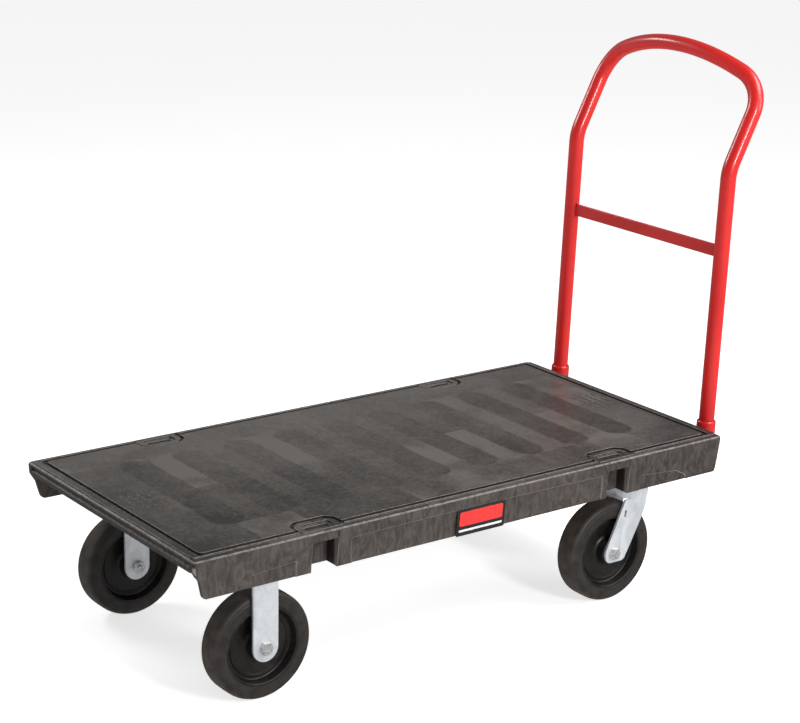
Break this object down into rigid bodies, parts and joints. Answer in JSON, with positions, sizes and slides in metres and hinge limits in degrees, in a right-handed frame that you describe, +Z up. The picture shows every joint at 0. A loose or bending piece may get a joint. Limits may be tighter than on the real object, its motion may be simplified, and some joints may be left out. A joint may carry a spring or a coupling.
{
  "type": "platform cart",
  "caption": "Low platform cart: a moulded load deck on rigid and swivel casters, with strap notches in its skirts and a lift-out bent-tube push handle at one end.",
  "frame": {"origin": "on the floor, under the middle of the bounding box", "axes": "+X along the deck towards the handle, +Z up, +Y to the right of the person who pushes the cart"},
  "size_m": [1.3588, 0.6096, 1.0644],
  "materials": {
    "deck_plastic": "moulded structural foam, semi-matt, with flow marks",
    "badge": "printed film, satin",
    "red_paint": "glossy powder coat",
    "zinc_plate": "bright zinc plating, slightly cloudy",
    "bright_steel": "plated fasteners",
    "tyre_rubber": "moulded rubber, matt",
    "core_plastic": "moulded black core, satin"
  },
  "bodies": {
    "platform": {"deck": "deck_plastic", "badge_plate": "badge", "handle_socket_left": "red_paint", "socket_bolt_left_1": "bright_steel", "socket_bolt_left_2": "bright_steel", "fork_rigid_left": "zinc_plate", "axle_bolt_rigid_left": "bright_steel", "axle_nut_rigid_left": "bright_steel", "plate_swivel_left": "zinc_plate", "raceway_swivel_left": "zinc_plate", "kingpin_swivel_left": "bright_steel", "kingpin_nut_swivel_left": "bright_steel", "plate_bolt_rigid_left_1": "bright_steel", "plate_bolt_rigid_left_2": "bright_steel", "plate_bolt_rigid_left_3": "bright_steel", "plate_bolt_rigid_left_4": "bright_steel", "plate_bolt_swivel_left_1": "bright_steel", "plate_bolt_swivel_left_2": "bright_steel", "plate_bolt_swivel_left_3": "bright_steel", "plate_bolt_swivel_left_4": "bright_steel", "handle_socket_right": "red_paint", "socket_bolt_right_1": "bright_steel", "socket_bolt_right_2": "bright_steel", "fork_rigid_right": "zinc_plate", "axle_bolt_rigid_right": "bright_steel", "axle_nut_rigid_right": "bright_steel", "plate_swivel_right": "zinc_plate", "raceway_swivel_right": "zinc_plate", "kingpin_swivel_right": "bright_steel", "kingpin_nut_swivel_right": "bright_steel", "plate_bolt_rigid_right_1": "bright_steel", "plate_bolt_rigid_right_2": "bright_steel", "plate_bolt_rigid_right_3": "bright_steel", "plate_bolt_rigid_right_4": "bright_steel", "plate_bolt_swivel_right_1": "bright_steel", "plate_bolt_swivel_right_2": "bright_steel", "plate_bolt_swivel_right_3": "bright_steel", "plate_bolt_swivel_right_4": "bright_steel"},
    "handle": {"handle_tube": "red_paint", "handle_crossbar": "red_paint"},
    "rigid_wheel_left": {"tyre_rigid_left": "tyre_rubber", "wheel_core_rigid_left": "core_plastic", "hub_sleeve_rigid_left": "bright_steel"},
    "swivel_fork_left": {"fork_swivel_left": "zinc_plate", "axle_bolt_swivel_left": "bright_steel", "axle_nut_swivel_left": "bright_steel"},
    "swivel_wheel_left": {"tyre_swivel_left": "tyre_rubber", "wheel_core_swivel_left": "core_plastic", "hub_sleeve_swivel_left": "bright_steel"},
    "rigid_wheel_right": {"tyre_rigid_right": "tyre_rubber", "wheel_core_rigid_right": "core_plastic", "hub_sleeve_rigid_right": "bright_steel"},
    "swivel_fork_right": {"fork_swivel_right": "zinc_plate", "axle_bolt_swivel_right": "bright_steel", "axle_nut_swivel_right": "bright_steel"},
    "swivel_wheel_right": {"tyre_swivel_right": "tyre_rubber", "wheel_core_swivel_right": "core_plastic", "hub_sleeve_swivel_right": "bright_steel"}
  },
  "joints": [
    {"name": "handle_lift", "type": "slide", "parent": "platform", "child": "handle", "axis": [0.0389, 0, 0.9992], "range_m": [0, 0.07]},
    {"name": "rigid_wheel_left_spin", "type": "hinge", "parent": "platform", "child": "rigid_wheel_left", "pos_m": [-0.50743, -0.2277, 0.1016], "axis": [0, 1, 0], "continuous": true},
    {"name": "swivel_fork_left_turn", "type": "hinge", "parent": "platform", "child": "swivel_fork_left", "pos_m": [0.36607, -0.2277, 0.22], "axis": [0, 0, 1], "continuous": true},
    {"name": "swivel_wheel_left_spin", "type": "hinge", "parent": "swivel_fork_left", "child": "swivel_wheel_left", "pos_m": [0.30607, -0.2277, 0.1016], "axis": [0, 1, 0], "continuous": true},
    {"name": "rigid_wheel_right_spin", "type": "hinge", "parent": "platform", "child": "rigid_wheel_right", "pos_m": [-0.50743, 0.2277, 0.1016], "axis": [0, 1, 0], "continuous": true},
    {"name": "swivel_fork_right_turn", "type": "hinge", "parent": "platform", "child": "swivel_fork_right", "pos_m": [0.36607, 0.2277, 0.22], "axis": [0, 0, 1], "continuous": true},
    {"name": "swivel_wheel_right_spin", "type": "hinge", "parent": "swivel_fork_right", "child": "swivel_wheel_right", "pos_m": [0.30607, 0.2277, 0.1016], "axis": [0, 1, 0], "continuous": true}
  ]
}
